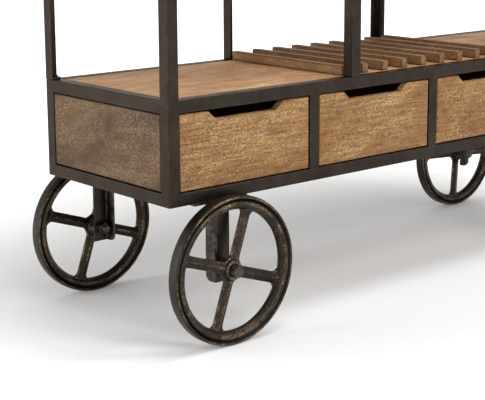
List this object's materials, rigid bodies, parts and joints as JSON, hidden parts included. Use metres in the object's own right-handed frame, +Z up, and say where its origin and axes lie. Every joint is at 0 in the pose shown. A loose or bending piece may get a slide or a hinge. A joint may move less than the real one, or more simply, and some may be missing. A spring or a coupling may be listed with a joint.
{
  "type": "bar cart on wheels",
  "caption": "Long steel-framed bar cart with wooden drawers, deck and top, bottle slats between angle posts, and large spoked cast-iron wheels.",
  "frame": {"origin": "on the floor, under the middle of the cart", "axes": "+X along the cart to its right end, +Y from the drawer fronts to the back, +Z up"},
  "size_m": [1.492, 0.511, 0.95],
  "materials": {
    "frame_steel": "dark brown-black lacquered mild steel, satin",
    "leg_steel": "dark lacquered rolled angle, satin",
    "axle_steel": "turned steel, dulled",
    "cast_iron": "sand-cast, dark brown with bronze rubbed high spots",
    "drawer_wood": "golden hardwood with short dark pores, matt lacquer",
    "deck_wood": "golden hardwood, worn, matt lacquer",
    "slat_wood": "hardwood batten, matt lacquer",
    "panel_wood": "hardwood panel, matt lacquer",
    "tray_wood": "plain plywood, unpolished"
  },
  "bodies": {
    "cart": {"base_end_frame_left": "frame_steel", "base_end_frame_right": "frame_steel", "base_rail_bottom_front": "frame_steel", "base_rail_bottom_rear": "frame_steel", "base_rail_top_front": "frame_steel", "base_rail_top_rear": "frame_steel", "drawer_divider_1": "frame_steel", "drawer_divider_2": "frame_steel", "drawer_divider_3": "frame_steel", "corner_post_front_left": "frame_steel", "middle_post_front_left": "frame_steel", "corner_post_front_right": "frame_steel", "middle_post_front_right": "frame_steel", "corner_post_rear_left": "frame_steel", "middle_post_rear_left": "frame_steel", "corner_post_rear_right": "frame_steel", "middle_post_rear_right": "frame_steel", "top_rail_left": "frame_steel", "top_rail_right": "frame_steel", "top_rail_front": "frame_steel", "top_rail_rear": "frame_steel", "deck_board": "deck_wood", "top_board": "deck_wood", "end_panel_left": "panel_wood", "end_panel_right": "panel_wood", "back_panel_1": "panel_wood", "back_panel_2": "panel_wood", "back_panel_3": "panel_wood", "back_panel_4": "panel_wood", "bottle_slat_1": "slat_wood", "bottle_slat_2": "slat_wood", "bottle_slat_3": "slat_wood", "bottle_slat_4": "slat_wood", "bottle_slat_5": "slat_wood", "bottle_slat_6": "slat_wood", "bottle_slat_7": "slat_wood", "bottle_slat_8": "slat_wood", "bottle_slat_9": "slat_wood", "leg_front_left": "leg_steel", "axle_front_left": "axle_steel", "leg_front_right": "leg_steel", "axle_front_right": "axle_steel", "leg_rear_left": "leg_steel", "axle_rear_left": "axle_steel", "leg_rear_right": "leg_steel", "axle_rear_right": "axle_steel"},
    "drawer_1": {"drawer_front_1": "drawer_wood", "drawer_tray_1": "tray_wood"},
    "drawer_2": {"drawer_front_2": "drawer_wood", "drawer_tray_2": "tray_wood"},
    "drawer_3": {"drawer_front_3": "drawer_wood", "drawer_tray_3": "tray_wood"},
    "drawer_4": {"drawer_front_4": "drawer_wood", "drawer_tray_4": "tray_wood"},
    "wheel_front_left": {"wheel_front_left": "cast_iron"},
    "wheel_front_right": {"wheel_front_right": "cast_iron"},
    "wheel_rear_left": {"wheel_rear_left": "cast_iron"},
    "wheel_rear_right": {"wheel_rear_right": "cast_iron"}
  },
  "joints": [
    {"name": "drawer_1_slide", "type": "slide", "parent": "cart", "child": "drawer_1", "axis": [0, -1, 0], "range_m": [0, 0.27]},
    {"name": "drawer_2_slide", "type": "slide", "parent": "cart", "child": "drawer_2", "axis": [0, -1, 0], "range_m": [0, 0.27]},
    {"name": "drawer_3_slide", "type": "slide", "parent": "cart", "child": "drawer_3", "axis": [0, -1, 0], "range_m": [0, 0.27]},
    {"name": "drawer_4_slide", "type": "slide", "parent": "cart", "child": "drawer_4", "axis": [0, -1, 0], "range_m": [0, 0.27]},
    {"name": "wheel_front_left_spin", "type": "hinge", "parent": "cart", "child": "wheel_front_left", "pos_m": [-0.6, -0.2355, 0.146], "axis": [0, 1, 0], "continuous": true},
    {"name": "wheel_front_right_spin", "type": "hinge", "parent": "cart", "child": "wheel_front_right", "pos_m": [0.6, -0.2355, 0.146], "axis": [0, 1, 0], "continuous": true},
    {"name": "wheel_rear_left_spin", "type": "hinge", "parent": "cart", "child": "wheel_rear_left", "pos_m": [-0.6, 0.2355, 0.146], "axis": [0, 1, 0], "continuous": true},
    {"name": "wheel_rear_right_spin", "type": "hinge", "parent": "cart", "child": "wheel_rear_right", "pos_m": [0.6, 0.2355, 0.146], "axis": [0, 1, 0], "continuous": true}
  ]
}
